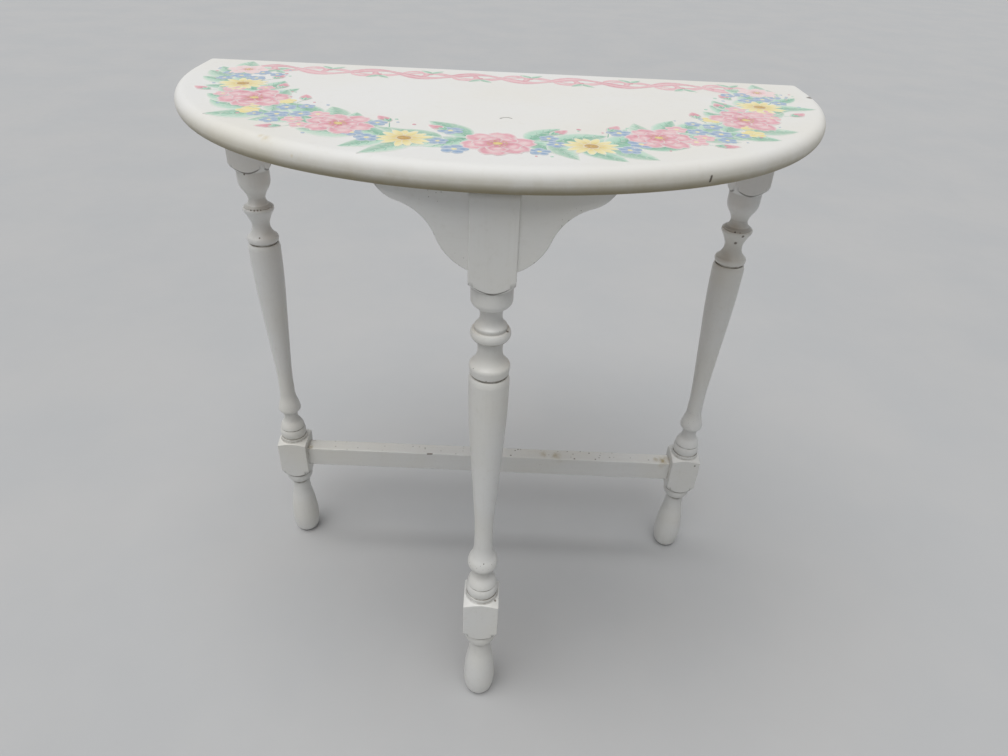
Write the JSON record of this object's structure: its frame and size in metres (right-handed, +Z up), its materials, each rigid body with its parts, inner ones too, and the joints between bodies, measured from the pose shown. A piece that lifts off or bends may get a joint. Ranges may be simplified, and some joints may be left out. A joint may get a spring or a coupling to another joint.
{
  "type": "demilune table",
  "caption": "Half-round wall table with a bullnose top on turned legs, with ogee brackets at the front leg and a plain stretcher between the rear legs.",
  "frame": {"origin": "on the floor, under the middle of the top's bounding box", "axes": "+X to the right seen from the front, +Y towards the wall side, +Z up"},
  "size_m": [0.69, 0.3519, 0.72],
  "materials": {
    "painted_top": "satin ivory paint with a painted floral border",
    "painted_frame": "satin white brushed paint",
    "bare_wood": "bare planed softwood",
    "dowel_wood": "bare beech",
    "screw_steel": "dull zinc"
  },
  "bodies": {
    "root": {"top_panel": "painted_top", "front_leg": "painted_frame", "rear_leg_left": "painted_frame", "rear_leg_right": "painted_frame", "front_bracket_left": "painted_frame", "front_bracket_right": "painted_frame", "rear_stretcher": "painted_frame", "rear_apron": "painted_frame", "center_rail": "bare_wood", "glue_block_front_left": "bare_wood", "glue_block_front_right": "bare_wood", "glue_block_rear_left": "bare_wood", "glue_block_rear_right": "bare_wood", "apron_dowels_left": "dowel_wood", "apron_dowels_right": "dowel_wood", "bracket_dowels_left": "dowel_wood", "bracket_dowels_right": "dowel_wood", "rail_dowels_front": "dowel_wood", "rail_dowels_rear": "dowel_wood", "apron_screws": "screw_steel", "rail_screws": "screw_steel"}
  },
  "joints": []
}
